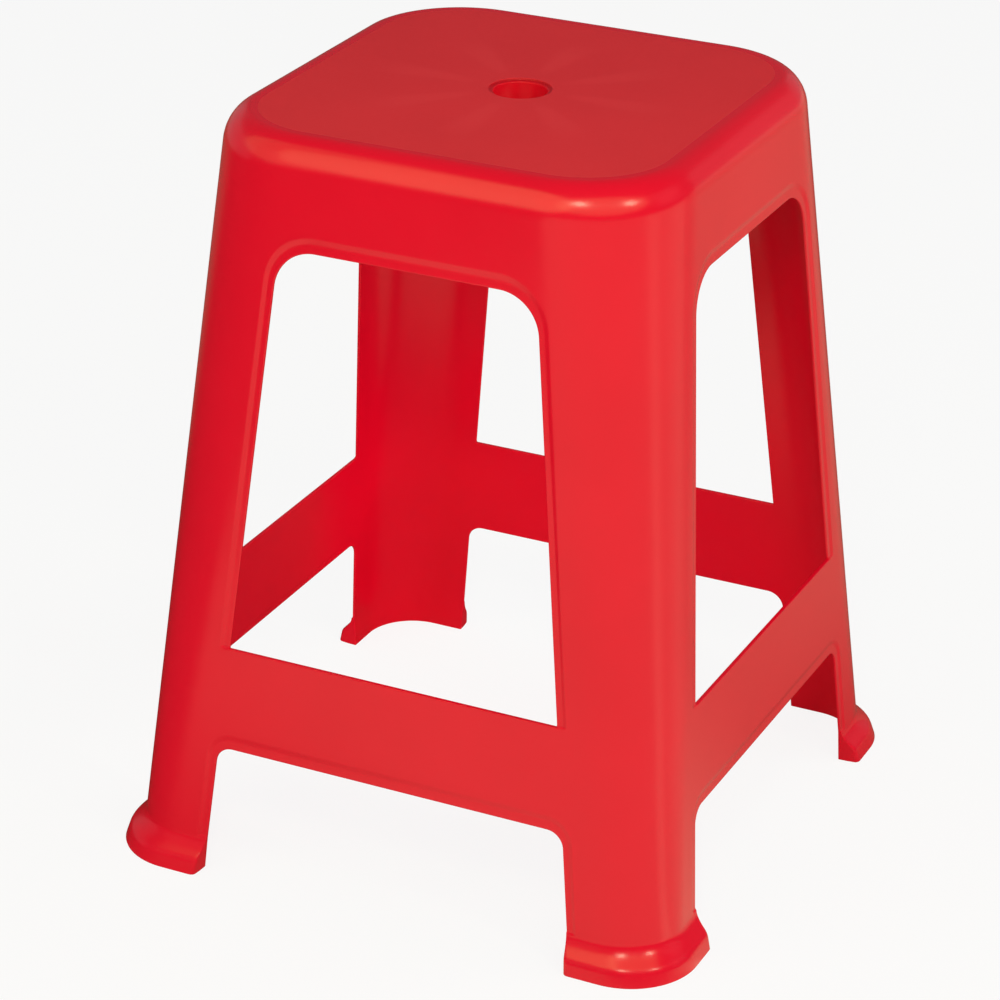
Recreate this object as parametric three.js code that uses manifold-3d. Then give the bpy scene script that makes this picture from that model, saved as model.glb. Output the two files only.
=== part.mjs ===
// A square stacking stool, injection moulded in one shot of red polypropylene.
// A tapered shell with rounded corners is opened by eight side openings into four legs, and
// each member of the moulding is a mesh of its own that meets its neighbours face to face.
// Lengths are millimetres, +Z is up, the front is towards -Y and the origin is on the floor.
import * as THREE from "three";
import { mergeVertices, toCreasedNormals } from "three/addons/utils/BufferGeometryUtils.js";
import Module from "manifold-3d";

const wasm = await Module();
wasm.setup();

// Shell: the leaning skin, measured across two opposite faces
const height = 450;
const seatWidth = 278;
const baseWidth = 349;
const seatCornerRadius = 66.5;
const baseCornerRadius = 35.5;
const wall = 2.5;
const seatThickness = 3;

// Rolled rim between the seat and the skin
const rimReach = 14;
const rimDrop = 17.8;

// Legs, the width of one face of the angle
const legWidthAtSeat = 67.2;
const legWidthAtFloor = 55.8;

// Openings: the apron above, the stretcher between, the arch below
const apronHeight = 43.5;
const windowCornerRadius = 25;
const stretcherHeight = 63.5;
const archHeight = 81;
const archCornerRadius = 10.5;

// Border that is set back along the edges of the openings
const borderDepth = 0.9;
const borderSideWidth = 5;
const borderTopWidth = 7.5;

// Feet: a knee and a slope that run out to an upright lip, cored out from below
const footHeight = 20.4;
const kneeHeight = 16.8;
const lipHeight = 9;
const lipReach = 9.6;
const lipDraft = 1.7;
const lipEdgeWidth = 2.6;
const lipCornerRadius = 42.5;
const footThickening = 1.2;
const coreWall = 2.5;
const coreDepth = 6;
const coreEndWall = 3.5;

// Finger hole, its countersunk seat and the collar that stiffens it
const holeDiameter = 31;
const holeSeatDiameter = 36;
const holeSeatDepth = 1.2;
const collarWall = 2.5;
const collarDrop = 12;

// Web under the seat: ribs, and the stops in the corners that carry the next stool
const ribThickness = 2.4;
const ribDepth = 10;
const stackPitch = 52;
const stopWidth = 30;
const stopFlank = 16;

// Working values
const overrun = 5;
const weldDistance = 1e-4;
const cornerSteps = 10;
const rimSteps = 8;
const kneeSteps = 6;
const lipEdgeSteps = 3;
const outlineSegments = 5;
const holeSegments = 48;
const creaseAngle = Math.PI / 7;

const quarterTurn = Math.PI / 2;
const vertical = new THREE.Vector3(0, 0, 1);
const seatLevel = height - seatThickness;
const rimLevel = height - rimDrop;
const windowTop = rimLevel - apronHeight;
const windowSill = archHeight + stretcherHeight;
const clearHalf = baseWidth / 2 + lipReach + overrun;

// The sides, by their turn from the front, and the corners, by their signs in X and Y
const sides = [
  { name: "front", turn: 0 },
  { name: "right", turn: quarterTurn },
  { name: "back", turn: 2 * quarterTurn },
  { name: "left", turn: 3 * quarterTurn },
];
const corners = [
  { name: "front_left", x: -1, y: -1 },
  { name: "front_right", x: 1, y: -1 },
  { name: "back_right", x: 1, y: 1 },
  { name: "back_left", x: -1, y: 1 },
];

// Value of something that changes evenly from the floor to the seat.
const along = (atFloor, atSeat, z) => THREE.MathUtils.lerp(atFloor, atSeat, z / height);
const skinHalf = (z) => along(baseWidth, seatWidth, z) / 2;
const skinRadius = (z) => along(baseCornerRadius, seatCornerRadius, z);
const legEdge = (z) => skinHalf(z) - along(legWidthAtFloor, legWidthAtSeat, z);

// One level of the shell: its height and how far its section lies outside the skin. On the lip
// the corner radius grows by less than the section does.
const lipSpread = (lipCornerRadius - baseCornerRadius) / lipReach;
const level = (z, out = 0) => ({
  z,
  half: skinHalf(z) + out,
  radius: skinRadius(z) + out * (out > 0 ? lipSpread : 1),
});

// Points of a quarter ellipse from straight up (0) to level (1), as reach and rise.
function quarterEllipse(reach, rise, steps) {
  return Array.from({ length: steps + 1 }, (_, i) => {
    const angle = (i / steps) * quarterTurn;
    return { reach: reach * (1 - Math.cos(angle)), rise: rise * Math.sin(angle) };
  });
}

// The section at one level, as points anticlockwise seen from above: four arcs.
function sectionPoints({ z, half, radius }) {
  const centre = new THREE.Vector3(half - radius, half - radius, z);
  return sides.flatMap(({ turn }) =>
    Array.from({ length: cornerSteps + 1 }, (_, i) => {
      const angle = (i / cornerSteps) * quarterTurn;
      const spoke = new THREE.Vector3(Math.cos(angle), Math.sin(angle), 0);
      return spoke.multiplyScalar(radius).add(centre).applyAxisAngle(vertical, turn);
    }),
  );
}

// A closed solid through a stack of rounded square sections, lowest first.
function loft(levels) {
  const rings = levels.map(sectionPoints);
  const count = rings[0].length;
  const points = rings.flat();
  const bottomCentre = points.push(new THREE.Vector3(0, 0, levels[0].z)) - 1;
  const topCentre = points.push(new THREE.Vector3(0, 0, levels.at(-1).z)) - 1;
  const topRing = (rings.length - 1) * count;
  const faces = [];
  for (let i = 0; i < count; i++) {
    const next = (i + 1) % count;
    faces.push(bottomCentre, next, i, topCentre, topRing + i, topRing + next);
    for (let lower = 0; lower < topRing; lower += count) {
      const upper = lower + count;
      faces.push(lower + i, lower + next, upper + next, lower + i, upper + next, upper + i);
    }
  }
  return toSolid(new THREE.BufferGeometry().setFromPoints(points).setIndex(faces));
}

function toSolid(geometry) {
  const bare = new THREE.BufferGeometry();
  bare.setAttribute("position", geometry.getAttribute("position"));
  bare.setIndex(geometry.getIndex());
  const welded = mergeVertices(bare, weldDistance);
  return new wasm.Manifold(
    new wasm.Mesh({
      numProp: 3,
      vertProperties: new Float32Array(welded.getAttribute("position").array),
      triVerts: new Uint32Array(welded.getIndex().array),
    }),
  );
}

function toGeometry(solid) {
  const { vertProperties, triVerts } = solid.getMesh();
  const geometry = new THREE.BufferGeometry();
  geometry.setAttribute("position", new THREE.BufferAttribute(vertProperties, 3));
  geometry.setIndex(new THREE.BufferAttribute(triVerts, 1));
  return toCreasedNormals(geometry, creaseAngle);
}

// A block between two opposite corners, each given as [x, y, z], then turned about the middle.
function block(from, to, turn = 0) {
  const box = new THREE.Box3().setFromPoints([new THREE.Vector3(...from), new THREE.Vector3(...to)]);
  const size = box.getSize(new THREE.Vector3());
  const centre = box.getCenter(new THREE.Vector3());
  return toSolid(new THREE.BoxGeometry(...size).translate(...centre).rotateZ(turn));
}

function upright(diameter, bottom, top) {
  const cylinder = new THREE.CylinderGeometry(diameter / 2, diameter / 2, top - bottom, holeSegments);
  return toSolid(cylinder.rotateX(quarterTurn).translate(0, 0, (bottom + top) / 2));
}

// A flat outline drawn in X and Z, carried square through the stool along Y, or along X if turned.
function passage(outline, turn) {
  const options = { depth: 2 * clearHalf, bevelEnabled: false, curveSegments: outlineSegments };
  const geometry = new THREE.ExtrudeGeometry(outline, options);
  return toSolid(geometry.translate(0, 0, -clearHalf).rotateX(quarterTurn).rotateZ(turn));
}

// The outline of an opening: a level sill and top, sides that lean with the legs, and round
// upper corners. A border's outline is the same one, grown by its widths.
function openingOutline({ sill, top, radius, sideGrowth = 0, topGrowth = 0 }) {
  const roof = top + topGrowth;
  const edge = (z) => legEdge(z) + sideGrowth;
  const lean = Math.atan2(edge(sill) - edge(roof), roof - sill);
  const arcCentre = edge(roof) - radius * Math.tan((quarterTurn - lean) / 2);
  const outline = new THREE.Shape();
  outline.moveTo(-edge(sill), sill);
  outline.lineTo(edge(sill), sill);
  outline.absarc(arcCentre, roof - radius, radius, lean, quarterTurn, false);
  outline.absarc(-arcCentre, roof - radius, radius, quarterTurn, Math.PI - lean, false);
  return outline;
}

const windowEdges = { sill: windowSill, top: windowTop, radius: windowCornerRadius };
const archEdges = { sill: -overrun, top: archHeight, radius: archCornerRadius };
const growth = { sideGrowth: borderSideWidth, topGrowth: borderTopWidth };
const borderOf = (edges) => ({ ...edges, ...growth, radius: edges.radius + borderSideWidth });

// The profile of a foot as points of reach and height, from the floor up. A straight slope joins
// the lip's soft edge to the soft knee, where the leg begins.
function footProfile() {
  const ground = new THREE.Vector2(lipReach, 0);
  const crest = new THREE.Vector2(lipReach - lipDraft, lipHeight);
  const knee = new THREE.Vector2(0, kneeHeight);
  const top = new THREE.Vector2(0, footHeight);
  const sideEnd = crest.clone().lerp(ground, lipEdgeWidth / crest.distanceTo(ground));
  const slopeEnd = crest.clone().lerp(knee, lipEdgeWidth / crest.distanceTo(knee));
  const lipEdge = new THREE.QuadraticBezierCurve(sideEnd, crest, slopeEnd);
  const bend = new THREE.QuadraticBezierCurve(slopeEnd, knee, top);
  return [ground, ...lipEdge.getPoints(lipEdgeSteps), ...bend.getPoints(kneeSteps).slice(1)];
}

function skinLevels() {
  const rim = quarterEllipse(rimReach, rimDrop, rimSteps);
  return [
    ...footProfile().map(({ x, y }) => level(y, x)),
    ...rim.map(({ reach, rise }) => level(rimLevel + rise, -reach)),
  ];
}

function cavityLevels() {
  const innerRim = quarterEllipse(rimReach - wall, rimDrop - seatThickness, rimSteps);
  const thickening = (z) => footThickening * (1 - z / footHeight);
  return [
    level(-overrun, -wall - thickening(-overrun)),
    level(footHeight, -wall),
    ...innerRim.map(({ reach, rise }) => level(rimLevel + rise, -wall - reach)),
  ];
}

const skin = loft(skinLevels());
const cavity = loft(cavityLevels());

// The slices that set the borders back: all that is outside a skin one border depth smaller,
// within the border outlines and between the feet and the rim.
function borderCuts() {
  const setBack = loft([level(0, -borderDepth), level(height, -borderDepth)]);
  const span = block([-clearHalf, -clearHalf, footHeight], [clearHalf, clearHalf, rimLevel]);
  return [windowEdges, archEdges]
    .flatMap((edges) => [0, quarterTurn].map((turn) => passage(openingOutline(borderOf(edges)), turn)))
    .map((border) => border.intersect(span).subtract(setBack));
}

// The groove that cores out each foot from below, closed at the ends of the angle.
function footCores() {
  const coreReach = lipReach - coreWall;
  const lipInside = loft([level(-overrun, coreReach), level(coreDepth, coreReach - lipDraft)]);
  const legOutside = loft([level(-2 * overrun), level(coreDepth + overrun)]);
  const groove = lipInside.subtract(legOutside);
  const near = legEdge(0) + coreEndWall;
  return corners.map(({ x, y }) =>
    groove.intersect(block([x * near, y * near, -overrun], [x * clearHalf, y * clearHalf, coreDepth])),
  );
}

function makeShell() {
  const holeSeat = upright(holeSeatDiameter, height - holeSeatDepth, height + overrun);
  const bore = upright(holeDiameter, seatLevel - overrun, height + overrun);
  const openings = [windowEdges, archEdges].flatMap((edges) =>
    [0, quarterTurn].map((turn) => passage(openingOutline(edges), turn)),
  );
  return [cavity, holeSeat, bore, ...openings, ...borderCuts(), ...footCores()].reduce(
    (body, cut) => body.subtract(cut),
    skin,
  );
}

const shell = makeShell();

// Zones that divide the moulding into its members. Those of the aprons and stretchers end
// where the fillets of the openings begin, so the legs keep the fillets.
const apronHalf = legEdge(windowTop) - windowCornerRadius;
const stretcherHalf = Math.min(legEdge(archHeight) - archCornerRadius, legEdge(windowSill));
const sideZone = (half, low, high, turn) => block([-half, -clearHalf, low], [half, 0, high], turn);
const apronZone = (turn) => sideZone(apronHalf, windowTop - overrun, rimLevel, turn);
const stretcherZone = (turn) => sideZone(stretcherHalf, 0, windowSill, turn);
const cornerZone = ({ x, y }, low, high) => block([0, 0, low], [x * clearHalf, y * clearHalf, high]);

const makeApron = ({ turn }) => shell.intersect(apronZone(turn));
const makeStretcher = ({ turn }) => shell.intersect(stretcherZone(turn));
const makeFoot = (corner) => shell.intersect(cornerZone(corner, -overrun, footHeight));

function makeSeat() {
  const zone = block([-clearHalf, -clearHalf, rimLevel], [clearHalf, clearHalf, height + overrun]);
  return shell.intersect(zone);
}

function makeLeg(corner) {
  const zones = sides.flatMap(({ turn }) => [apronZone(turn), stretcherZone(turn)]);
  const post = shell.intersect(cornerZone(corner, footHeight, rimLevel));
  return zones.reduce((body, zone) => body.subtract(zone), post);
}

// The tube that carries the finger hole down below the seat.
const collarBottom = seatLevel - collarDrop;
const collarDiameter = holeDiameter + 2 * collarWall;
function makeCollar() {
  const bore = upright(holeDiameter, collarBottom - overrun, seatLevel + overrun);
  return upright(collarDiameter, collarBottom, seatLevel).subtract(bore);
}

// A rib stands on edge under the seat and runs from the collar to the skin. Its outline is
// drawn in the distance from the middle and the height, and is trimmed by what it meets.
function makeRib(outline, turn) {
  const shape = new THREE.Shape(outline.map(([distance, z]) => new THREE.Vector2(distance, z)));
  const plate = new THREE.ExtrudeGeometry(shape, { depth: ribThickness, bevelEnabled: false })
    .translate(0, 0, -ribThickness / 2)
    .rotateX(quarterTurn)
    .rotateZ(turn - quarterTurn);
  return toSolid(plate).intersect(cavity).subtract(upright(collarDiameter, 0, height));
}

const ribBottom = seatLevel - ribDepth;
const ribRoof = seatLevel + overrun;

function makeSideRib({ turn }) {
  const end = skinHalf(ribBottom);
  return makeRib([[0, ribBottom], [end, ribBottom], [end, ribRoof], [0, ribRoof]], turn);
}

// A corner rib deepens into a stop. Its level edge rests on the seat of the next stool below.
function makeStackingRib({ x, y }) {
  const stopLevel = height - stackPitch;
  const radius = skinRadius(stopLevel);
  const end = (skinHalf(stopLevel) - radius) * Math.SQRT2 + radius;
  const stopEdge = end - wall - stopWidth;
  const outline = [
    [0, ribBottom],
    [stopEdge - stopFlank, ribBottom],
    [stopEdge, stopLevel],
    [end, stopLevel],
    [end, ribRoof],
    [0, ribRoof],
  ];
  return makeRib(outline, Math.atan2(y, x) + quarterTurn);
}

const finishes = {
  gloss: { color: 0xdc1f28, roughness: 0.3, metalness: 0 },
  matt: { color: 0xc53039, roughness: 0.6, metalness: 0 },
};

const stool = new THREE.Group();

function add(name, solid, finish = "gloss") {
  const mesh = new THREE.Mesh(toGeometry(solid), new THREE.MeshStandardMaterial(finishes[finish]));
  mesh.name = name;
  stool.add(mesh);
}

add("seat_panel", makeSeat(), "matt");
add("finger_hole_collar", makeCollar());
for (const side of sides) {
  add("seat_rib_" + side.name, makeSideRib(side));
  add("apron_" + side.name, makeApron(side));
  add("stretcher_" + side.name, makeStretcher(side));
}
for (const corner of corners) {
  add("stacking_rib_" + corner.name, makeStackingRib(corner));
  add("leg_" + corner.name, makeLeg(corner));
  add("foot_" + corner.name, makeFoot(corner));
}

export default stool;
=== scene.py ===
# %% [markdown]
# # A square stacking stool in red plastic
#
# The real stool comes out of one mould: a thin tapered shell with round corners, eight side
# openings that leave four legs, a rolled rim round a matt seat, and feet that curl out to a lip.
# A box could be tapered, bevelled and cut by booleans, but the soft edges round every opening
# would then be patchwork. So the model follows the way such a tool is drawn. Every surface is a
# formula in two directions, worked out as a whole numpy array, and only an eighth of the stool is
# ever described: a mirror and four turns make the rest, so all sides meet exactly.

import math

import bmesh
import bpy
import numpy as np
from mathutils import Matrix, Vector


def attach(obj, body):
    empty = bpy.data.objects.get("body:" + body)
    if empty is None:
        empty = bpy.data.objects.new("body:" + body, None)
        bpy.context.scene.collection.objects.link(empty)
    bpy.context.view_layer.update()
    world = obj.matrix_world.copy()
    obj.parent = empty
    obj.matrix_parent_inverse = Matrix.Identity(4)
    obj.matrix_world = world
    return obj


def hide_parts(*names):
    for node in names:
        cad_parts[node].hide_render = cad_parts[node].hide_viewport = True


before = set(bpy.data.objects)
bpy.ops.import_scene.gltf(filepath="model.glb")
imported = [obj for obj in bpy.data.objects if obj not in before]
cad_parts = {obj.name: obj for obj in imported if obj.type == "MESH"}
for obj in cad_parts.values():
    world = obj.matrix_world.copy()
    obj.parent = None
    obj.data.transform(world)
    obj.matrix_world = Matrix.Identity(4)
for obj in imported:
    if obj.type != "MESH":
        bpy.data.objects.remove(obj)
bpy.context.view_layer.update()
print("solids in the frame:", len(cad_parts))

# %% [markdown]
# ## Sizes
#
# These are the sizes of the moulding, in metres. They are the same values that drive the solids:
# the widths are across two opposite faces, and whatever changes from the floor to the seat, such
# as the corner radius, changes evenly with the height.

# %% Sizes of the moulding
mm = 0.001
HEIGHT = 450 * mm
SEAT_WIDTH, BASE_WIDTH = 278 * mm, 349 * mm
SEAT_CORNER, BASE_CORNER = 66.5 * mm, 35.5 * mm
WALL, SEAT_THICKNESS = 2.5 * mm, 3 * mm
RIM_REACH, RIM_DROP = 14 * mm, 17.8 * mm
LEG_AT_SEAT, LEG_AT_FLOOR = 67.2 * mm, 55.8 * mm
APRON, STRETCHER = 43.5 * mm, 63.5 * mm

RIM_LEVEL = HEIGHT - RIM_DROP
WINDOW_TOP = RIM_LEVEL - APRON
ARCH_TOP = 81 * mm
WINDOW_SILL = ARCH_TOP + STRETCHER
WINDOW_CORNER, ARCH_CORNER = 25 * mm, 10.5 * mm

BORDER_DEPTH, BORDER_SIDE, BORDER_TOP = 0.9 * mm, 5 * mm, 7.5 * mm

FOOT_TOP, FOOT_KNEE = 20.4 * mm, 16.8 * mm
LIP_HEIGHT, LIP_REACH, LIP_DRAFT, LIP_EDGE = 9 * mm, 9.6 * mm, 1.7 * mm, 2.6 * mm
LIP_CORNER, LIP_STRAIGHT = 42.5 * mm, 100 * mm
FOOT_THICKENING = 1.2 * mm
GROOVE_DEPTH, GROOVE_WALL, GROOVE_END = 6 * mm, 2.5 * mm, 3.5 * mm

HOLE, HOLE_SEAT, HOLE_SEAT_DEPTH = 31 * mm, 36 * mm, 1.2 * mm
COLLAR_WALL, COLLAR_DROP = 2.5 * mm, 12 * mm
RIB_THICKNESS, RIB_DEPTH = 2.4 * mm, 10 * mm
STACK_PITCH, STOP_WIDTH, STOP_FLANK = 52 * mm, 30 * mm, 16 * mm

SEAT_LEVEL = HEIGHT - SEAT_THICKNESS
MID_STRETCHER = (ARCH_TOP + WINDOW_SILL) / 2
EIGHTH = math.pi / 4
print("windows from", round(WINDOW_SILL, 4), "to", round(WINDOW_TOP, 4), "m above the floor")

# %% [markdown]
# ## The skin as a function
#
# The skin is what a hand feels: four leaning faces and four round corners that widen upwards. A
# bevelled box would give the same look, but no way to say where a point of it lies. Here a point
# of the shell has three numbers: u, the distance from the middle of the front measured along the
# skin, z, the height, and w, how far it lies outside the skin. Up to the end of the flat face u is
# simply x. After that it is wound onto the corner's arc. Everything on the shell, inside or
# outside, is drawn in u, z and w, and one function puts it into space.

# %% From u, z and w to a point
def along(at_floor, at_seat, z):
    """Value that changes evenly from the floor to the seat."""
    return at_floor + (at_seat - at_floor) * z / HEIGHT


def skin_half(z):
    """Half the width across two opposite faces."""
    return along(BASE_WIDTH, SEAT_WIDTH, z) / 2


def skin_radius(z):
    """Radius of the round corner."""
    return along(BASE_CORNER, SEAT_CORNER, z)


def flat_half(z):
    """Half the width of the flat part of a face: what the corner leaves of the half width."""
    return skin_half(z) - skin_radius(z)


def leg_edge(z):
    """Distance from the middle of a side to the edge of a leg."""
    return skin_half(z) - along(LEG_AT_FLOOR, LEG_AT_SEAT, z)


def diagonal(z):
    """The u of the corner's middle: the flat half and an eighth of a turn of the arc."""
    return flat_half(z) + skin_radius(z) * EIGHTH


def on_skin(u, z, w):
    """Straight along the front up to the flat's end, then round the corner's arc at radius + w.
    Outside the skin, on the lip, the radius grows by less than w, and the arc's centre moves out
    by what the radius lacks."""
    u, z, w = np.broadcast_arrays(u, z, w)
    flat = flat_half(z)
    turn = np.clip((u - flat) / skin_radius(z), 0, EIGHTH)
    lacks = np.maximum(w, 0) * (1 - (LIP_CORNER - BASE_CORNER) / LIP_REACH)
    radius = skin_radius(z) + w - lacks
    towards_corner = np.clip((u - LIP_STRAIGHT) / (flat - LIP_STRAIGHT), 0, 1)
    x = np.minimum(u, flat) + lacks * towards_corner + radius * np.sin(turn)
    return np.stack([x, -(flat + lacks + radius * np.cos(turn)), z], -1)


FLAT_COLUMNS, CORNER_COLUMNS = 10, 12
COLUMNS = FLAT_COLUMNS + CORNER_COLUMNS


def columns(z):
    """The u of each column from the middle of a side to the diagonal, at the heights z: even steps
    along the flat, then even steps round the arc."""
    z = np.asarray(z)[..., None]
    flat = flat_half(z) * np.linspace(0, 1, FLAT_COLUMNS + 1)
    corner = flat_half(z) + skin_radius(z) * EIGHTH * np.linspace(0, 1, CORNER_COLUMNS + 1)
    return np.concatenate([flat, corner[..., 1:]], -1)


print("middle of a side to the diagonal, m:", round(diagonal(0), 4), "to", round(diagonal(HEIGHT), 4))

# %% [markdown]
# ## The profile of a foot
#
# Each leg ends in a flare: the skin turns out at a knee, runs down a straight slope and ends in an
# upright lip with a soft edge. A Bevel modifier would round the knee and the edge alike, but the
# knee is wide and the edge is narrow. Bending a straight corner into a curve is what a Bezier of
# three points does, so the knee and the lip's edge are one such curve each.

# %% Foot profile
SOLE_EDGE = 0.5 * mm


def bend(start, corner, end, steps):
    """Quadratic Bezier: leaves start towards the corner and arrives at end coming from it."""
    start, corner, end = np.array(start), np.array(corner), np.array(end)
    t = np.linspace(0, 1, steps + 1)[:, None]
    return (1 - t) ** 2 * start + 2 * t * (1 - t) * corner + t ** 2 * end


def foot_profile():
    """Reach and height from the floor to the top of the foot: a small soft edge at the floor, the
    lip, its edge, the straight slope and the knee."""
    sole = SOLE_EDGE * np.array([[-1, 0], [-0.3, 0.3], [0, 1]]) + np.array([LIP_REACH, 0])
    crest = np.array([LIP_REACH - LIP_DRAFT, LIP_HEIGHT])
    knee = np.array([0, FOOT_KNEE])
    lip_top = crest + (sole[-1] - crest) * LIP_EDGE / LIP_HEIGHT
    slope_end = crest + (knee - crest) / np.linalg.norm(knee - crest) * LIP_EDGE
    lip_edge = bend(lip_top, crest, slope_end, steps=5)
    cove = bend(slope_end, knee, (0, FOOT_TOP), steps=11)
    return np.concatenate([sole, lip_edge, cove[1:]])


foot_reach, foot_rows = foot_profile().T
print("foot profile:", len(foot_rows), "levels")


def outer_wall(z):
    """How far the outside lies outside the skin: the flare of the feet, and nothing above."""
    return np.interp(z, foot_rows, foot_reach)


def inner_wall(z):
    """How far the inside lies inside the skin. The wall thickens a little down to the floor."""
    return -WALL - FOOT_THICKENING * np.clip(1 - z / FOOT_TOP, 0, 1)


# %% [markdown]
# ## The edge of an opening
#
# Round every window and arch runs a flat border, set back by 0.9 mm, so that a small step lines
# the opening. Cut by a Boolean modifier, an opening would have no border and a rough ring of
# triangles. So what surrounds it is a profile: the inner wall, the soft inner edge, the cut face,
# the soft outer edge, the border, the gentle slope of the step up, and the skin. The profile is a
# list of distances from the edge. A free edge is rounded by half a millimetre, and the ends of the
# lip by 2.4 mm, which is what their outline in the photograph shows.

# %% The profile across an edge
EDGE_RADIUS, LIP_ROUNDING = 0.5 * mm, 2.4 * mm
HALF_SLOPE = 1.4 * mm  # half the width of the slope from the border up to the skin
COLLAR_WIDTH = 8 * mm  # all that follows the edge of an opening

round_steps = np.radians([0, 30, 60, 90])
edge_distance = EDGE_RADIUS * (1 - np.cos(round_steps))
edge_drop = EDGE_RADIUS * (1 - np.sin(round_steps))
# over the border, up the slope and on
beyond = np.array([0.8, 1.8, 2.8, 3.6, 4.2, 5.0, 5.8, 6.4, 6.9, 7.4]) * mm
profile_distance = np.concatenate([[0], edge_distance, beyond, [COLLAR_WIDTH]])
profile_drop = np.concatenate([[0], edge_drop, 0 * beyond, [0]])


def ease(x, low, high):
    """Smooth step from 0 at low to 1 at high."""
    t = np.clip((x - low) / (high - low), 0, 1)
    return t * t * (3 - 2 * t)


def outer_drop(z):
    """How far the outside falls back towards an edge, at each distance of the profile. It is a
    quarter circle, of 0.5 mm above the foot and of 2.4 mm where the lip stands out furthest."""
    radius = EDGE_RADIUS + (LIP_ROUNDING - EDGE_RADIUS) * outer_wall(z) / LIP_REACH
    short = np.clip(radius - profile_distance, 0, None)
    return radius - np.sqrt(radius ** 2 - short ** 2)


def wall_section(u, z, border_from):
    """Carries the profile along a path. u and z hold a column for each distance of the profile.
    Returns the points from the inner wall over the cut face to the outer wall."""
    raised = ease(profile_distance, BORDER_SIDE - HALF_SLOPE, BORDER_SIDE + HALF_SLOPE)
    set_back = BORDER_DEPTH * ease(z, border_from, border_from + HALF_SLOPE) * (1 - raised)
    outside = outer_wall(z) - set_back
    inside = inner_wall(z)
    middle = (outside[:, :1] + inside[:, :1]) / 2
    outer = on_skin(u, z, outside - outer_drop(z))
    inner = on_skin(u, z, inside + profile_drop)
    outer[:, :1] = inner[:, :1] = on_skin(u[:, :1], z[:, :1], middle)
    return np.concatenate([inner[:, :0:-1], outer], 1)


print("profile across an edge:", 2 * len(profile_distance) - 1, "points")

# %% [markdown]
# ## The path round an opening
#
# A window has leaning sides, round upper corners and a straight sill. An arch is the same without
# a sill. The path for a distance d from the edge is the outline grown by d, and grown half as much
# again on top, because the border is wider there. Scaling the outline instead would change its
# corner radius and the width of its border.

# %% Paths round a window and an arch
ROOF_GROWTH = BORDER_TOP / BORDER_SIDE


def opening_path(sill, top, radius, d, side_rows, side_steps, arc_steps, top_steps):
    """u and z along the edge of an opening grown by each distance in d: up the leaning side over
    side_rows, round the upper corner by an arc, and along the level top to the middle."""
    roof = top + ROOF_GROWTH * d
    edge = lambda z: leg_edge(z) + d
    lean = np.arctan2(edge(sill) - edge(roof), roof - sill)
    arc_radius = radius + d
    centre = edge(roof) - arc_radius * np.tan((math.pi / 2 - lean) / 2)
    arc_foot = roof - arc_radius + arc_radius * np.sin(lean)
    rise = np.linspace(0, 1, side_steps + 1)[1:-1, None]
    last = side_rows[-1]
    side_z = np.concatenate([side_rows, last + (arc_foot - last) * rise])
    angle = lean + (math.pi / 2 - lean) * np.linspace(0, 1, arc_steps + 1)[:, None]
    inwards = np.linspace(1, 0, top_steps + 1)[1:, None]
    u = np.concatenate([edge(side_z), centre + arc_radius * np.cos(angle), centre * inwards])
    z = np.concatenate([side_z, roof - arc_radius + arc_radius * np.sin(angle), roof + 0 * inwards])
    return u, z


d = profile_distance[None, :]
level_rows = lambda rows: rows[:, None] + 0 * d
start_of_border = HALF_SLOPE * np.array([0.5, 1])

window_rows = np.concatenate([
    WINDOW_SILL - d,
    level_rows(WINDOW_SILL + np.concatenate([[0], start_of_border])),
])
side_u, side_z = opening_path(
    WINDOW_SILL, WINDOW_TOP, WINDOW_CORNER, d, window_rows,
    side_steps=9, arc_steps=2 * CORNER_COLUMNS, top_steps=FLAT_COLUMNS,
)
sill_z = WINDOW_SILL - d + np.zeros((COLUMNS, 1))
sill_u = side_u[:1] * np.linspace(0, 1, COLUMNS + 1)[:-1, None]
window_u = np.concatenate([sill_u, side_u])
window_z = np.concatenate([sill_z, side_z])

ARCH_ARC = 12
arch_rows = level_rows(np.concatenate([foot_rows, FOOT_TOP + start_of_border]))
arch_u, arch_z = opening_path(
    0, ARCH_TOP, ARCH_CORNER, d, arch_rows,
    side_steps=6, arc_steps=ARCH_ARC, top_steps=COLUMNS - ARCH_ARC // 2,
)
print("path round half a window:", len(window_u), "points, round half an arch:", len(arch_u))

# %% [markdown]
# ## Filling in between
#
# Between the collar of an opening and the frame of its panel lies plain skin. It could be one
# large face with many corners, but such a face shades badly where the skin bends. So it is a lerp:
# each point of the collar's outer line is joined to a point of the frame, and the steps between
# are even. The frame of a window runs from the middle of the stretcher out to the diagonal, up it,
# and back along the rim, so neighbouring panels share every point of their frames.

# %% Plain skin between the openings
FILL_STEPS = 14


def spread(u, z, low, high):
    """Heights from low to high, spaced as the points of a path are."""
    length = np.concatenate([[0], np.cumsum(np.hypot(np.diff(u), np.diff(z)))])
    return low + (high - low) * length / length[-1]


def fill(u, z, frame_u, frame_z):
    """Lerp in u and z from a path to the points of a frame."""
    t = np.linspace(0, 1, FILL_STEPS + 1)
    return u[:, None] + (frame_u - u)[:, None] * t, z[:, None] + (frame_z - z)[:, None] * t


def window_fill():
    """From the collar of a window to the stretcher's middle, the diagonal and the rim."""
    u, z = window_u[:, -1], window_z[:, -1]
    corner, shoulder = COLUMNS, len(u) - 1 - COLUMNS
    up = spread(u[corner:shoulder + 1], z[corner:shoulder + 1], MID_STRETCHER, RIM_LEVEL)
    frame_u = np.concatenate([columns(MID_STRETCHER), diagonal(up[1:]), columns(RIM_LEVEL)[-2::-1]])
    frame_z = np.concatenate([np.full(COLUMNS, MID_STRETCHER), up, np.full(COLUMNS, RIM_LEVEL)])
    return fill(u, z, frame_u, frame_z)


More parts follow.
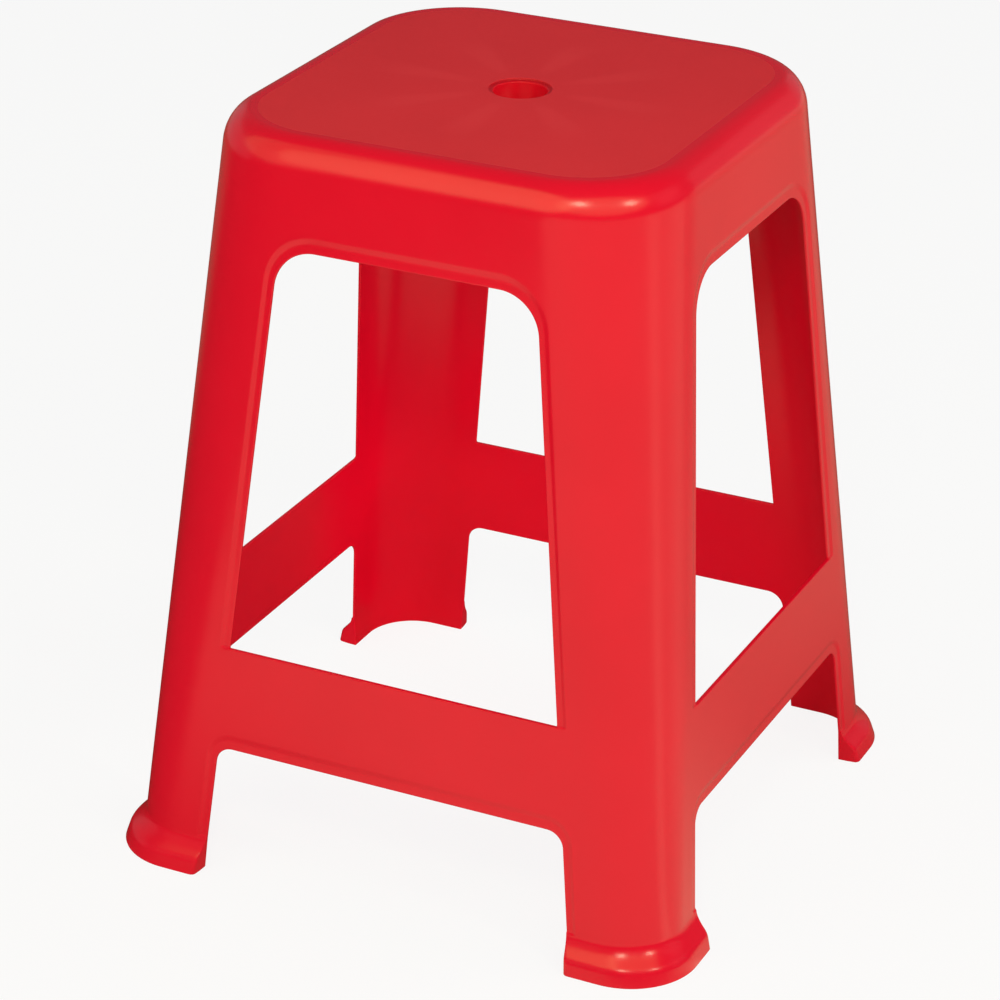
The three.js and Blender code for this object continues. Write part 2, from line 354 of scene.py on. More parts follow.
def arch_fill():
    """From the collar of an arch, above the foot, to the diagonal and the stretcher's middle."""
    first = len(foot_rows) - 1
    u, z = arch_u[first:, -1], arch_z[first:, -1]
    shoulder = len(u) - 1 - COLUMNS
    up = spread(u[:shoulder + 1], z[:shoulder + 1], FOOT_TOP, MID_STRETCHER)
    frame_u = np.concatenate([diagonal(up), columns(MID_STRETCHER)[-2::-1]])
    frame_z = np.concatenate([up, np.full(COLUMNS, MID_STRETCHER)])
    return fill(u, z, frame_u, frame_z)


def foot_fill():
    """From the collar of an arch, on the foot, level to the diagonal."""
    u, z = arch_u[:len(foot_rows), -1], foot_rows
    return fill(u, z, diagonal(z), z)


print("cells of plain skin in the eighth:", FILL_STEPS * (len(window_u) + len(arch_u) - 2))

# %% [markdown]
# ## The underside of a foot
#
# The underside of a foot is a level face with a groove, because a thick lip would sink as it
# cools, so the maker cores it out. A Boolean modifier could cut the groove. But the face only
# joins the last ring of the inner wall to the last ring of the outer wall, so it is a lerp too,
# and where the groove is, its points are lifted.

# %% Underside of a foot
GROOVE_DRAFT = 0.01


def underside():
    """Lerp from the inner to the outer wall at the floor, with the groove's rings lifted. The
    groove's sides lean by a hundredth of the foot's width."""
    fill_u = foot_fill()[0][0, 1:]
    u = np.concatenate([arch_u[0], fill_u])
    no_drop = np.zeros_like(fill_u)
    outer_w = outer_wall(0) - np.concatenate([outer_drop(0), no_drop])
    inner_w = inner_wall(0) + np.concatenate([profile_drop, no_drop])
    outer_w[0] = inner_w[0] = (outer_wall(0) + inner_wall(0)) / 2
    span = outer_wall(0) - inner_wall(0)
    low, high = -inner_wall(0) / span, 1 - GROOVE_WALL / span
    inner_part = [0, low / 2, low]
    groove = [low + GROOVE_DRAFT, (low + high) / 2, high - GROOVE_DRAFT]
    outer_part = [high, (1 + high) / 2, 1]
    share = np.array(inner_part + groove + outer_part)[:, None]
    lift = GROOVE_DEPTH * np.repeat([0, 1, 0], 3)[:, None]
    inside_end = u - leg_edge(0) > GROOVE_END
    points = on_skin(u, 0 * share, inner_w + (outer_w - inner_w) * share)
    return points + (lift * inside_end)[..., None] * np.array([0, 0, 1])


print("underside of half a foot:", underside().shape[:2], "points")

# %% [markdown]
# ## The rim
#
# Above the panels the skin rolls over into the seat. A bevel would make the roll a quarter of a
# circle, but this one goes down further than it goes in, so it is a quarter of an ellipse, and the
# inside follows it at the thickness of the wall. The shell ends in a narrow level ring, where the
# gloss of the rim gives way to the matt of the seat.

# %% Rim of the eighth
RING = 3.2 * mm


def rolled(reach, drop, start_level, offset, steps):
    """Quarter ellipse from upright to level, as heights and w."""
    angle = np.linspace(0, math.pi / 2, steps + 1)
    return start_level + drop * np.sin(angle), offset - reach * (1 - np.cos(angle))


def seat_edge(z):
    """The line where the shell hands over to the seat, at the height z."""
    line = on_skin(columns(HEIGHT), HEIGHT, -RIM_REACH - RING)
    line[:, 2] = z
    return line


def rim_surface(reach, drop, offset, end_level, steps):
    """The quarter ellipse at every column, and then the edge of the seat."""
    z, w = rolled(reach, drop, RIM_LEVEL, offset, steps)
    rolled_part = on_skin(columns(z), z[:, None], w[:, None])
    return np.concatenate([rolled_part, seat_edge(end_level)[None]])


rim_outside = rim_surface(RIM_REACH, RIM_DROP, 0, HEIGHT, steps=20)
rim_inside = rim_surface(RIM_REACH - WALL, RIM_DROP - SEAT_THICKNESS, -WALL, SEAT_LEVEL, steps=16)
rim_end = np.stack([seat_edge(HEIGHT), seat_edge(SEAT_LEVEL)])
print("rim outside:", rim_outside.shape[:2], "points, inside:", rim_inside.shape[:2])

# %% [markdown]
# ## Eight copies and one mesh
#
# A Mirror modifier makes two of a thing, but a stool with four sides needs four turns as well. So
# each patch of the eighth is mirrored across the middle of the front and turned four times in
# numpy. The points on the shared lines are the same numbers, so merging doubles closes the piece.
# Broad faces then decide the shading, so that flats stay flat beside their soft edges.

# %% Mesh helpers
MERGE_WITHIN, NO_LENGTH = 0.002 * mm, 0.001 * mm
SHARP_FROM = math.radians(65)
QUARTERS = ((1, 0), (0, 1), (-1, 0), (0, -1))


def turning(c, s):
    """Matrix that turns rows of points about the upright axis by an angle, given as its cosine and
    sine."""
    return np.array([[c, s, 0], [-s, c, 0], [0, 0, 1]])


def eight_times(patch):
    """The patch, its mirror image, and both at every quarter turn."""
    mirror = patch * np.array([-1, 1, 1])
    return [half @ turning(c, s) for c, s in QUARTERS for half in (patch, mirror)]


def grid_faces(rows, cols, first):
    """Four corners of every cell of a grid of points that are numbered row by row."""
    n = first + np.arange(rows * cols).reshape(rows, cols)
    return np.stack([n[:-1, :-1], n[:-1, 1:], n[1:, 1:], n[1:, :-1]], -1).reshape(-1, 4)


def mesh_from(name, patches):
    """A mesh of quads from grids of points. The points are numbered one grid after the other."""
    points, faces, count = [], [], 0
    for patch in patches:
        rows, cols = patch.shape[:2]
        faces.append(grid_faces(rows, cols, count))
        points.append(patch.reshape(-1, 3))
        count += rows * cols
    points, faces = np.concatenate(points), np.concatenate(faces)
    mesh = bpy.data.meshes.new(name)
    mesh.vertices.add(len(points))
    mesh.vertices.foreach_set("co", points.astype(np.float32).ravel())
    mesh.loops.add(faces.size)
    mesh.loops.foreach_set("vertex_index", faces.astype(np.int32).ravel())
    mesh.polygons.add(len(faces))
    mesh.polygons.foreach_set("loop_start", np.arange(0, faces.size, 4, dtype=np.int32))
    mesh.update(calc_edges=True)
    return mesh


def close_up(mesh):
    """Merges doubles, drops faces without area and points all faces outwards. Returns how many
    edges are still open, and the volume."""
    work = bmesh.new()
    work.from_mesh(mesh)
    bmesh.ops.remove_doubles(work, verts=work.verts, dist=MERGE_WITHIN)
    bmesh.ops.dissolve_degenerate(work, edges=work.edges, dist=NO_LENGTH)
    bmesh.ops.recalc_face_normals(work, faces=work.faces)
    if work.calc_volume(signed=True) < 0:
        bmesh.ops.reverse_faces(work, faces=work.faces)
    open_edges = sum(not edge.is_manifold for edge in work.edges)
    volume = work.calc_volume()
    work.to_mesh(mesh)
    work.free()
    return open_edges, volume


def piece_from(name, patches):
    """One closed piece from grids of points that share their borders. An edge of more than 65
    degrees stays sharp, because there the piece only turns out of sight."""
    mesh = mesh_from(name, patches)
    open_edges, volume = close_up(mesh)
    mesh.polygons.foreach_set("use_smooth", np.ones(len(mesh.polygons), dtype=bool))
    mesh.set_sharp_from_angle(angle=SHARP_FROM)
    piece = bpy.data.objects.new(name, mesh)
    bpy.context.scene.collection.objects.link(piece)
    weighted = piece.modifiers.new("broad_faces_first", "WEIGHTED_NORMAL")
    weighted.mode = "FACE_AREA"
    weighted.weight = 50
    weighted.keep_sharp = True
    print(name, "faces", len(mesh.polygons), "open edges", open_edges, "cm3", round(volume * 1e6, 1))
    return piece


# %% [markdown]
# ## The moulded shell
#
# Aprons, legs, stretchers and feet are one wall of plastic, so they are one piece here as well.
# Made as separate pieces they would show a seam at every meeting line. The shell is the sections
# round the openings, the undersides of the feet, the rim, and the plain skin outside and inside.

# %% Shell
shell_patches = [
    wall_section(window_u, window_z, WINDOW_SILL),
    wall_section(arch_u, arch_z, FOOT_TOP),
    underside(),
    rim_outside,
    rim_inside,
    rim_end,
]
for u, z in (window_fill(), arch_fill(), foot_fill()):
    shell_patches += [on_skin(u, z, outer_wall(z)), on_skin(u, z, inner_wall(z))]
shell = piece_from("moulded_shell", [copy for patch in shell_patches for copy in eight_times(patch)])

# %% [markdown]
# ## The seat
#
# The seat is a flat plate with a finger hole to carry the stool by. A Boolean modifier could punch
# the hole, but then its soft lip would sit on a ring of thin triangles. So rings of points run
# from the rounded square of the rim to the circle of the hole. Then the same rings go down the
# countersink, over the soft lip, through the collar and back under the plate.

# %% Seat plate with the finger hole
SEAT_SOFT, LEDGE_SOFT, LIP_SOFT = 0.6 * mm, 0.4 * mm, 0.9 * mm
COLLAR_SOFT, COLLAR_FILLET = 0.4 * mm, 1 * mm
HOLE_DRAFT = 0.1 * mm


def hole_rings(start, corner, end, steps):
    """Rings round the hole whose radius and height follow a Bezier of three points."""
    return [(1, radius, z) for radius, z in bend(start, corner, end, steps)]


def seat_rings():
    """Each ring is a share of the way from the outline to a circle, that circle's radius, and the
    height."""
    hole, seat_hole, collar = HOLE / 2, HOLE_SEAT / 2, HOLE / 2 + COLLAR_WALL
    collar_end = SEAT_LEVEL - COLLAR_DROP
    ledge = HEIGHT - HOLE_SEAT_DEPTH
    top_edge, fillet_edge = seat_hole + SEAT_SOFT, collar + COLLAR_FILLET
    fillet_start = SEAT_LEVEL - COLLAR_FILLET
    inwards = lambda times: seat_hole - times * HOLE_DRAFT
    top = [(share, top_edge, HEIGHT) for share in np.linspace(0, 1, 15)]
    edge = hole_rings((top_edge, HEIGHT), (seat_hole, HEIGHT), (inwards(1), HEIGHT - SEAT_SOFT), 4)
    foot = hole_rings((inwards(1.5), ledge + LEDGE_SOFT), (inwards(2), ledge), (inwards(6), ledge), 3)
    lip = hole_rings((hole + LIP_SOFT, ledge), (hole, ledge), (hole, ledge - LIP_SOFT), 5)
    bore = [(1, hole, z) for z in np.linspace(ledge - LIP_SOFT, collar_end + COLLAR_SOFT, 6)[1:]]
    end = [
        (1, hole + COLLAR_SOFT, collar_end),
        (1, collar - COLLAR_SOFT, collar_end),
        (1, collar, collar_end + COLLAR_SOFT),
    ]
    fillet = hole_rings((collar, fillet_start), (collar, SEAT_LEVEL), (fillet_edge, SEAT_LEVEL), 4)
    under = [(share, fillet_edge, SEAT_LEVEL) for share in np.linspace(1, 0, 9)[1:]]
    back_to_start = [(0, 0, HEIGHT)]
    return np.array(top + edge[1:] + foot + lip + bore + end + fillet + under + back_to_start)


def seat_surface():
    """Point = outline + (circle - outline) * share, with the circle's point in the same direction."""
    share, radius, z = (value[:, None] for value in seat_rings().T)
    outline = seat_edge(HEIGHT)
    angle = np.arctan2(outline[:, 0], -outline[:, 1])[None, :]
    x = outline[:, 0] + (radius * np.sin(angle) - outline[:, 0]) * share
    y = outline[:, 1] + (-radius * np.cos(angle) - outline[:, 1]) * share
    return np.stack([x, y, z + 0 * x], -1)


seat = piece_from("seat_face", eight_times(seat_surface()))

# %% [markdown]
# ## The ribs
#
# Under the seat four ribs run to the sides and four to the corners. The corner ribs deepen into
# the stops on which the next stool in a stack comes to rest. Eight thin boxes would be quicker,
# but a moulded rib is wider at its root than at its rounded lower edge, so that it slips out of
# the tool. So a rib is a small closed profile, carried outwards from the collar, and what changes
# on the way is only where its foot and its head lie.

# %% Shape of a rib
RIB_EDGE, RIB_SINK, RIB_TAPER = 0.5 * mm, 0.6 * mm, 0.85
STOP_LEVEL = HEIGHT - STACK_PITCH


def corner_reach(z):
    """Distance from the middle to the skin on the diagonal: the flat half's corner and the radius."""
    return flat_half(z) * math.sqrt(2) + skin_radius(z)


def inside_reach(to_corner):
    """Distance from the middle to the inner wall, straight out or on the diagonal, with the height
    of each sample. It runs from the seat down to just below the stops."""
    rolled_z, rolled_w = rolled(RIM_REACH - WALL, RIM_DROP - SEAT_THICKNESS, RIM_LEVEL, -WALL, steps=24)
    z = np.concatenate([[STOP_LEVEL - 1 * mm], rolled_z])
    w = np.concatenate([[-WALL], rolled_w])
    out = corner_reach(z) if to_corner else skin_half(z)
    return (out + w)[::-1], z[::-1]


def rib_section():
    """From the root of one side round the lower edge to the root of the other: the place across
    the rib, the share of the rib's height, and what the soft edge adds to that height."""
    root, tip = RIB_THICKNESS / 2, RIB_TAPER * RIB_THICKNESS / 2
    half_up, near = (root + tip) / 2, 0.55 * tip
    across = np.array([-root, -half_up, -tip, -near, 0, near, tip, half_up, root])
    share = np.array([1, 0.5, 0, 0, 0, 0, 0, 0.5, 1])
    soft = RIB_EDGE * np.array([0, 0, 1, 0.1, 0, 0.1, 1, 0, 0])
    return across, share, soft


def rib(to_corner, bottom_line, angle):
    """Carries the section outwards from the collar. bottom_line lists distance and height of the
    lower edge. Both ends are closed by a fan round their middle."""
    reach, reach_z = inside_reach(to_corner)
    bottom_x, bottom_z = np.array(bottom_line).T
    start = HOLE / 2 + COLLAR_WALL - RIB_SINK
    x = np.unique(np.concatenate([np.linspace(start, reach[0], 8), reach, bottom_x[1:-1]]))
    foot = np.interp(x, bottom_x, bottom_z)
    head = RIB_SINK + np.where(x <= reach[0], SEAT_LEVEL, np.interp(x, reach, reach_z))
    keep = head > foot
    x, foot, head = x[keep, None], foot[keep, None], head[keep, None]
    across, share, soft = rib_section()
    points = np.stack(np.broadcast_arrays(x, across, foot + (head - foot) * share + soft), -1)
    loop = np.concatenate([points, points[:, :1]], 1)
    middle = lambda ring: np.broadcast_to(ring.mean(0), ring.shape)[None]
    loop = np.concatenate([middle(loop[0]), loop, middle(loop[-1])])
    return loop @ turning(math.cos(angle), math.sin(angle))


# %% Four ribs to the sides and four to the corners
rib_bottom = SEAT_LEVEL - RIB_DEPTH
stop_end = corner_reach(STOP_LEVEL)
stop_edge = stop_end - WALL - STOP_WIDTH
side_line = [(0, rib_bottom), (SEAT_WIDTH, rib_bottom)]
corner_line = [
    (0, rib_bottom),
    (stop_edge - STOP_FLANK, rib_bottom),
    (stop_edge, STOP_LEVEL),
    (stop_end, STOP_LEVEL),
]
quarter_turns = [math.pi / 2 * quarter for quarter in range(4)]
side_ribs = [rib(False, side_line, angle) for angle in quarter_turns]
corner_ribs = [rib(True, corner_line, angle + EIGHTH) for angle in quarter_turns]
ribs = piece_from("stiffening_ribs", side_ribs + corner_ribs)

# %% [markdown]
# ## Shader maths in Python
#
# Patterns are easier to read as formulas than as boxes and wires. Value wraps one socket, and each
# operator adds the Math node that it stands for. Nodes makes every other node of a material or a
# world through a single method, and Finish is a material under construction.

# %% Value, Nodes and Finish
class Value:
    """A number that changes from place to place. Arithmetic on it adds Math nodes."""

    def __init__(self, nodes, socket):
        self.nodes, self.socket = nodes, socket

    def math(self, operation, *others):
        """Any operation of the Math node, with this value first."""
        inputs = dict(enumerate((self, *others)))
        return self.nodes.node("ShaderNodeMath", {"operation": operation}, inputs)

    def __add__(self, other):
        return self.math("ADD", other)

    def __sub__(self, other):
        return self.math("SUBTRACT", other)

    def __rsub__(self, other):
        return (self * -1).math("ADD", other)

    def __mul__(self, other):
        return self.math("MULTIPLY", other)

    def __truediv__(self, other):
        return self.math("DIVIDE", other)

    __radd__, __rmul__ = __add__, __mul__

    def step(self, low, high):
        """Smooth step from 0 at low to 1 at high, where high may also be the smaller one."""
        settings = {"interpolation_type": "SMOOTHSTEP"}
        inputs = {"Value": self, "From Min": low, "From Max": high}
        return self.nodes.node("ShaderNodeMapRange", settings, inputs)


class Nodes:
    """The node tree of a material or a world."""

    def __init__(self, owner):
        owner.use_nodes = True
        self.tree = owner.node_tree

    def node(self, kind, settings, inputs, output=0):
        """A new node of this type, with its settings first and then its sockets."""
        made = self.tree.nodes.new(kind)
        for key, value in settings.items():
            setattr(made, key, value)
        for key, value in inputs.items():
            self.feed(made.inputs[key], value)
        return Value(self, made.outputs[output])

    def feed(self, socket, value):
        """Links a Value to the socket, or writes a plain number or colour into it."""
        if isinstance(value, Value):
            self.tree.links.new(value.socket, socket)
        else:
            socket.default_value = value

    def rays(self):
        """1 where the camera sees a thing itself or through glass, and 1 where it is mirrored."""
        path = self.node("ShaderNodeLightPath", {}, {}).socket.node.outputs
        kinds = ("Is Camera Ray", "Is Transmission Ray", "Is Glossy Ray")
        camera, through, mirrored = (Value(self, path[kind]) for kind in kinds)
        return camera + through, mirrored


class Finish(Nodes):
    """A material under construction."""

    def __init__(self, name):
        self.material = bpy.data.materials.new(name)
        super().__init__(self.material)
        self.shader = self.tree.nodes["Principled BSDF"]
        self.place = self.node("ShaderNodeTexCoord", {}, {}, "Object")

    def noise(self, scale, detail=2.0):
        """Soft noise with about this many bumps per metre."""
        inputs = {"Vector": self.place, "Scale": scale, "Detail": detail}
        return self.node("ShaderNodeTexNoise", {}, inputs)

    def axes(self):
        """The place on the piece as x, y and z."""
        split = self.node("ShaderNodeSeparateXYZ", {}, {"Vector": self.place})
        return [Value(self, output) for output in split.socket.node.outputs]

    def mix(self, share, first, second):
        """Colour that goes from first to second."""
        made = self.tree.nodes.new("ShaderNodeMix")
        made.data_type = "RGBA"
        sockets = (made.inputs[0], made.inputs[6], made.inputs[7])
        for socket, value in zip(sockets, (share, first, second)):
            self.feed(socket, value)
        return Value(self, made.outputs[2])

    def bump(self, height, distance):
        """Dents and bumps that only the shading sees. Distance is how deep a height of 1 is."""
        made = self.node("ShaderNodeBump", {}, {"Height": height, "Distance": distance})
        self.feed(self.shader.inputs["Normal"], made)

    def set(self, **sockets):
        """Sockets of the shader, with _ for a space in their names."""
        for name, value in sockets.items():
            self.feed(self.shader.inputs[name.replace("_", " ")], value)


def linear(red, green, blue):
    """A colour read off a screen, 0 to 255, as Blender's linear values."""
    channel = lambda c: c / 255 / 12.92 if c <= 10 else ((c / 255 + 0.055) / 1.055) ** 2.4
    return (channel(red), channel(green), channel(blue), 1.0)


# %% [markdown]
# ## The gloss of the sides
#
# The mould is polished for the sides, and the plastic copies it: a clear red with a soft gloss.
# One colour and one roughness would look like a computer's plastic, because nothing on the real
# one is quite even. The melt leaves broad, faint clouds in the colour, the polish has fine orange
# peel, the wall waves a little where it shrank, and the soles and scattered small spots that rub
# against other things have gone slightly dull. The red itself is deep, with hardly any green in
# it: what looks orange on the front is the warm light that the gloss adds.

# %% Glossy red skin
PLASTIC_IOR = 1.49
SOLE_RUB = 12 * mm


def glossy_red():
    """Colour = clouds between two reds. Roughness = even + a little noise + where it is rubbed."""
    skin = Finish("glossy_red_plastic")
    z = skin.axes()[2]
    clouds = skin.noise(9.0, detail=3.0).step(0.35, 0.65)
    colour = skin.mix(clouds, linear(226, 4, 38), linear(230, 6, 40))
    rubbed = z.step(SOLE_RUB, 0.0) * 0.6 + skin.noise(160.0, detail=4.0).step(0.62, 0.75) * 0.25
    orange_peel = skin.noise(1500.0, detail=1.0) * 0.002
    waves = skin.noise(14.0, detail=1.0)
    skin.set(Base_Color=colour, Roughness=0.19 + 0.03 * skin.noise(45.0) + 0.08 * rubbed)
    skin.bump(waves + orange_peel, distance=0.25 * mm)
    skin.set(IOR=PLASTIC_IOR, Specular_IOR_Level=0.42)
    print(skin.material.name, "nodes", len(skin.tree.nodes))
    return skin.material


gloss = glossy_red()

# %% [markdown]
# ## The matt of the seat
#
# The seat's part of the mould is spark eroded, which leaves a fine even grain, so it scatters
# light instead of mirroring it and looks paler than the sides. The grain is far too fine for
# geometry, so it is a bump. Over the eight ribs the plate has sunk by a hair as it cooled, and
# the sheen of these dips is painted into the colour, as faint lighter rays round the finger hole:
# a cosine of eight times the angle. The bore is smooth and deep red, and the low wall of its
# countersink is painted darker, as painted shade in the recess.

# %% Matt red seat
RIBS = 8
RAY_FROM, RAY_CLEAR, RAY_FADES, RAY_TO = 22 * mm, 40 * mm, 60 * mm, 100 * mm


def matt_red():
    """Colour = clouds, then the painted sheen of the rays, then the bore, then the painted shade of
    the recess. Each share is a smooth step of the distance or the angle from the middle, or of the
    depth below the seat."""
    skin = Finish("matt_red_plastic")
    x, y, z = skin.axes()
    radius = (x * x + y * y).math("SQRT")
    angle = y.math("ARCTAN2", x)
    near_rib = (angle * RIBS).math("COSINE").step(0.2, 1.0)
    # Painted sheen: the light that the slight dips over the ribs catch, put into the colour as lighter
    # rays.
    painted_ray_sheen = near_rib * radius.step(RAY_FROM, RAY_CLEAR) * radius.step(RAY_TO, RAY_FADES)
    depth = HEIGHT - z
    smooth_bore = depth.step(0.3 * mm, 0.9 * mm)
    # Painted shade: the low wall of the countersink, a small recess, is made darker.
    painted_recess_shade = depth.step(0.1 * mm, 0.4 * mm) * depth.step(1.3 * mm, 1.1 * mm)
    clouds = skin.noise(12.0, detail=3.0).step(0.3, 0.7)
    colour = skin.mix(clouds, linear(221, 42, 52), linear(225, 44, 54))
    colour = skin.mix(painted_ray_sheen * 0.5, colour, linear(230, 54, 62))
    colour = skin.mix(smooth_bore, colour, linear(214, 10, 32))
    # The painted shade of the recess is a darker red.
    colour = skin.mix(painted_recess_shade, colour, linear(184, 9, 27))
    grain = skin.noise(2600.0)
    skin.set(Base_Color=colour, Roughness=0.52 - 0.24 * smooth_bore + 0.05 * skin.noise(300.0))
    skin.bump(grain * (1 - smooth_bore), distance=0.05 * mm)
    skin.set(IOR=PLASTIC_IOR, Specular_IOR_Level=0.2)
    print(skin.material.name, "nodes", len(skin.tree.nodes))
    return skin.material


matt = matt_red()
for piece, material in ((shell, gloss), (seat, matt), (ribs, gloss)):
    piece.data.materials.append(material)

# %% [markdown]
# ## Onto the frame
#
# The stool has no moving piece, so all of it rides on the one body. The three pieces stand for the
# solids of the moulding, which stay in the frame for weight and contact.

# %% What rides on what
sides = ("front", "right", "back", "left")
corners = ("front_left", "front_right", "back_right", "back_left")
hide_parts("seat_panel", *(kind + side for kind in ("apron_", "stretcher_") for side in sides))
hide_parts(*(kind + corner for kind in ("leg_", "foot_") for corner in corners))
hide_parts("seat_panel", "finger_hole_collar")
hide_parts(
    *("seat_rib_" + side for side in sides),
    *("stacking_rib_" + corner for corner in corners),
)
for piece, slot in ((shell, "skin_gloss_red"), (seat, "seat_matt_red"), (ribs, "skin_gloss_red")):
    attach(piece, "root")
    print(piece.name, "rides on root and takes its finish from", slot)

# %% [markdown]
# ## Studio floor
#
# The stool stands on a pale floor in soft light. A picture of a studio wrapped round the scene
# would give rich reflections, but it is a file, so the floor does that work. It is white where the
# camera sees it, straight or through something clear, and it keeps a share of its own shading, so
# the stool's shadow stays. The upright sides mirror the floor, and the photograph shows how bright
# it was where: white and warm in front, a third as bright close by at the right, and nearly dark
# at the left and behind. A light stripe that widens out to the right draws the long line down the
# front leg. Each of these is a smooth step along x and y, and only mirrored rays see it.

# %% Floor
FLOOR_SHADING = 0.12
FRONT_GLOW, RIGHT_GLOW, BACK_GLOW, LEFT_GLOW = 0.9, 0.306, 0.1, 0.03
STRIPE_GLOW, STRIPE_X, STRIPE_Y = 0.6, 0.12, -0.14
BRIGHTEST = 1.7
BLACK, WHITE, YELLOWISH = (0, 0, 0, 1), (1, 1, 1, 1), (1, 1, 0.68, 1)
FLOOR_GREY = (0.8, 0.8, 0.8, 1)


def mirrored_floor(ground):
    """How bright the floor is in the gloss: the front's level fades to the left and back, the right
    and the back have their own, and the stripe is a wedge that opens from a point beside the
    stool. Its share falls with the slope of the line from that point."""
    x, y = ground.axes()[:2]
    in_front = (x - y * 0.1).step(-0.48, -0.2) * (x * 0.8 - y).step(0.0, 0.35)
    at_right = x.step(0.1, 0.3) * (1 - in_front)
    behind = y.step(0.1, 0.5)
    beside = ((y - STRIPE_Y) / (x - STRIPE_X)).math("ABSOLUTE")
    stripe = beside.step(0.17, 0.04) * x.step(STRIPE_X, 0.2)
    ground_level = in_front * FRONT_GLOW + at_right * RIGHT_GLOW + behind * BACK_GLOW
    return LEFT_GLOW + ground_level + stripe * STRIPE_GLOW


def pale_floor():
    """Camera rays see white and a little shading, mirrored rays see the glow, and light that
    bounces sees plain grey. The glow is a share of the brightest level, so it can be a colour."""
    ground = Finish("pale_floor")
    seen, mirrored = ground.rays()
    tint = ground.mix(mirrored, WHITE, YELLOWISH)
    share = (seen + mirrored * mirrored_floor(ground)) / BRIGHTEST
    glow = {"Color": ground.mix(share, BLACK, tint), "Strength": BRIGHTEST}
    shading = ground.node("ShaderNodeBsdfDiffuse", {}, {"Color": FLOOR_GREY})
    white = ground.node("ShaderNodeEmission", {}, glow)
    factor = seen * (1 - FLOOR_SHADING) + mirrored
    mixed = ground.node("ShaderNodeMixShader", {}, {0: factor, 1: shading, 2: white})
    ground.feed(ground.tree.nodes["Material Output"].inputs["Surface"], mixed)
    return ground.material


FLOOR_HALF = 12
floor_corners = [(x * FLOOR_HALF, y * FLOOR_HALF, 0) for x, y in ((-1, -1), (1, -1), (1, 1), (-1, 1))]
floor_mesh = bpy.data.meshes.new("floor")
floor_mesh.from_pydata(floor_corners, [], [(0, 1, 2, 3)])
floor_mesh.materials.append(pale_floor())
floor = bpy.data.objects.new("floor", floor_mesh)
bpy.context.scene.collection.objects.link(floor)
print("floor:", 2 * FLOOR_HALF, "m square")

# %% [markdown]
# ## Lamps and world
#
# The lamps are soft panels that the camera doesn't see. Two small ones put the pairs of highlights
# on the round corners, broad ones light the front and the right, and two low ones glow along the
# edges from behind. A glossy surface shows the outline of every lamp, so the broad ones only
# light. Three close ellipses do the opposite: they light nothing and are mirrored in the rim, as a
# long glow that the two highlights stand on. They stand so close that the feet hardly mirror them.
# The inner panel stands for the light that the walls throw to each other.

# %% Lamps
MIDDLE, FAR = Vector((0, 0, 0.2)), 2.2
WARM, RIM_TINT = (1, 0.98, 0.7), (1, 1, 0.45)


def panel(name, sides, power, azimuth, elevation, distance=FAR, colour=(1, 1, 1),
          only="", shape="RECTANGLE", beam=180):
    """A soft light of these two sides that looks at the middle of the stool. Azimuth 0 is straight
    in front, and beam is the angle that it lights. With only="light" the gloss doesn't mirror it,
    and with only="gloss" it is nothing but a reflection."""
    data = bpy.data.lights.new(name, "AREA")
    data.shape = shape
    data.size, data.size_y = sides
    data.energy, data.color = power, colour
    data.spread = math.radians(beam)
    lamp = bpy.data.objects.new(name, data)
    a, e = math.radians(azimuth), math.radians(elevation)
    towards = Vector((math.sin(a) * math.cos(e), -math.cos(a) * math.cos(e), math.sin(e)))
    lamp.location = MIDDLE + towards * distance
    lamp.rotation_euler = towards.to_track_quat("Z", "Y").to_euler()
    lamp.visible_camera = False
    lamp.visible_diffuse, lamp.visible_glossy = only != "gloss", only != "light"
    bpy.context.scene.collection.objects.link(lamp)


panel("left_panel", (0.34, 0.34), 6.5, 21, 42, colour=WARM)
panel("right_panel", (0.26, 0.26), 5, 70, 37, colour=WARM)
panel("front_panel", (2.0, 0.6), 11, 44, 38, colour=WARM, only="light")
panel("left_front_panel", (1.8, 1.1), 12.5, -30, 24, colour=WARM, only="light")
panel("right_side_panel", (1.2, 1.2), 14, 110, 25, 2.5, only="light")
panel("back_left_panel", (3.0, 1.1), 2.1, -102, 13)
panel("back_right_panel", (1.6, 1.1), 1.0, 165, 13)
panel("inner_panel", (0.15, 0.15), 0.11, 45, 25, 0.1, only="light", beam=110)
for name, *placing in (
    ("rim_wide_panel", (1.1, 0.5), 1.0, -32, 43, 0.69),
    ("rim_bright_panel", (0.56, 0.46), 0.8, -10, 43, 0.69),
    ("rim_corner_panel", (0.8, 0.4), 1.0, 42, 42, 0.72),
):
    panel(name, *placing, colour=RIM_TINT, only="gloss", shape="ELLIPSE")

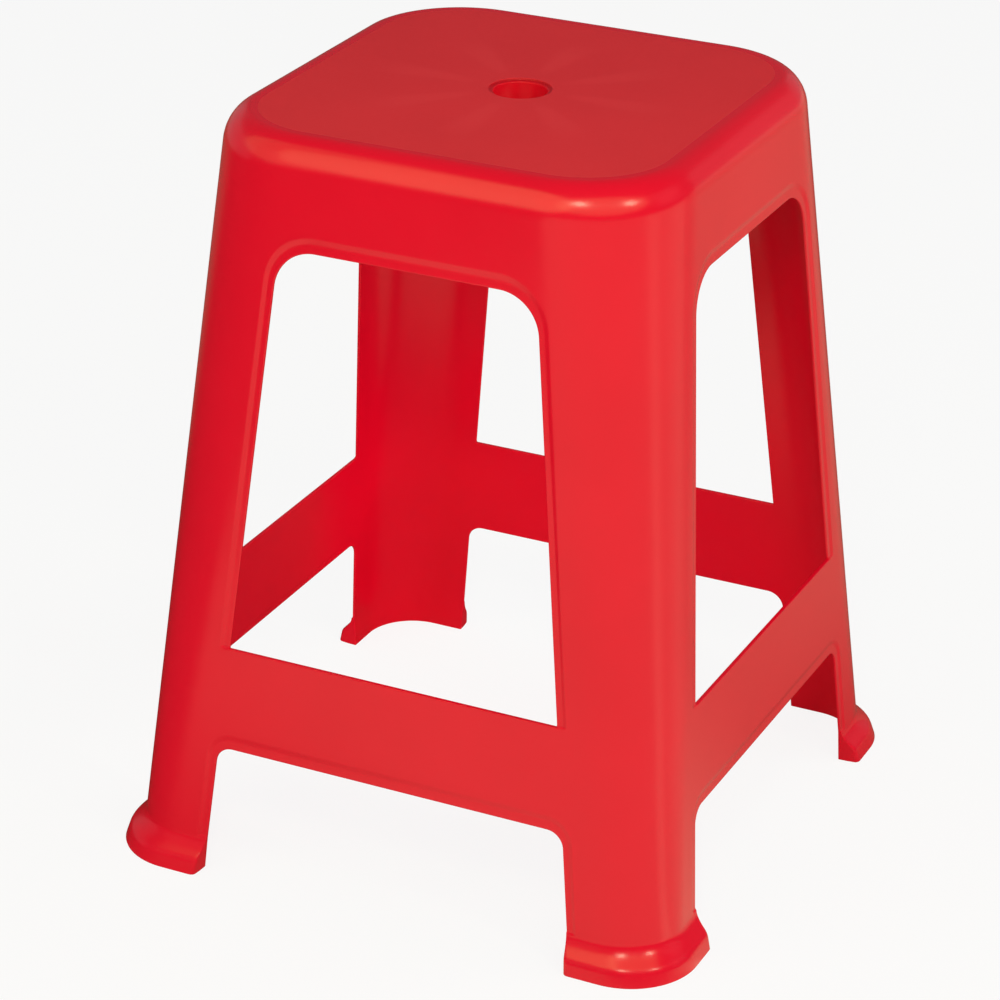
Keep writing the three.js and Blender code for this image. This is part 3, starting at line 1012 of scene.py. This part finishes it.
# %% World
WORLD_LIGHT, WORLD_MIRRORED = 0.335, 0.12
studio = bpy.data.worlds.new("studio")
bpy.context.scene.world = studio
around = Nodes(studio)
seen, mirrored = around.rays()
strength = seen + mirrored * WORLD_MIRRORED + (1 - seen - mirrored) * WORLD_LIGHT
around.feed(around.tree.nodes["Background"].inputs["Color"], WHITE)
around.feed(around.tree.nodes["Background"].inputs["Strength"], strength)
print("lamps:", len(bpy.data.lights), "and a world of strength", WORLD_LIGHT)

# %% [markdown]
# ## Camera
#
# The photograph was taken from the front right and from above with a long lens. Blender can aim a
# camera with a Track To constraint, but the real one was rolled by a hair too. So the camera is
# placed by its three axes. The angles, the distance and the focal length come from fitting the
# stool's edges to the photograph.

# %% Camera
AZIMUTH, ELEVATION, ROLL = 0.44272, 0.44025, 0.01196
DISTANCE, TARGET = 2.1118, Vector((-0.00966, 0, 0.19098))
FOCAL_LENGTH, SENSOR_WIDTH = 127.44, 36.0
NEAREST, FURTHEST = 0.05, 50.0

camera = bpy.data.objects.new("camera", bpy.data.cameras.new("camera"))
forward = Vector((
    -math.sin(AZIMUTH) * math.cos(ELEVATION),
    math.cos(AZIMUTH) * math.cos(ELEVATION),
    -math.sin(ELEVATION),
))
level = Vector((math.cos(AZIMUTH), math.sin(AZIMUTH), 0))
upright = level.cross(forward)
right = level * math.cos(ROLL) + upright * math.sin(ROLL)
up = upright * math.cos(ROLL) - level * math.sin(ROLL)
axes = Matrix((right, up, -forward)).transposed().to_4x4()
camera.matrix_world = Matrix.Translation(TARGET - forward * DISTANCE) @ axes
camera.data.lens, camera.data.sensor_width = FOCAL_LENGTH, SENSOR_WIDTH
camera.data.clip_start, camera.data.clip_end = NEAREST, FURTHEST
bpy.context.scene.collection.objects.link(camera)
bpy.context.scene.camera = camera
bpy.context.scene.view_settings.view_transform = "Standard"
print("camera at", [round(v, 3) for v in camera.location])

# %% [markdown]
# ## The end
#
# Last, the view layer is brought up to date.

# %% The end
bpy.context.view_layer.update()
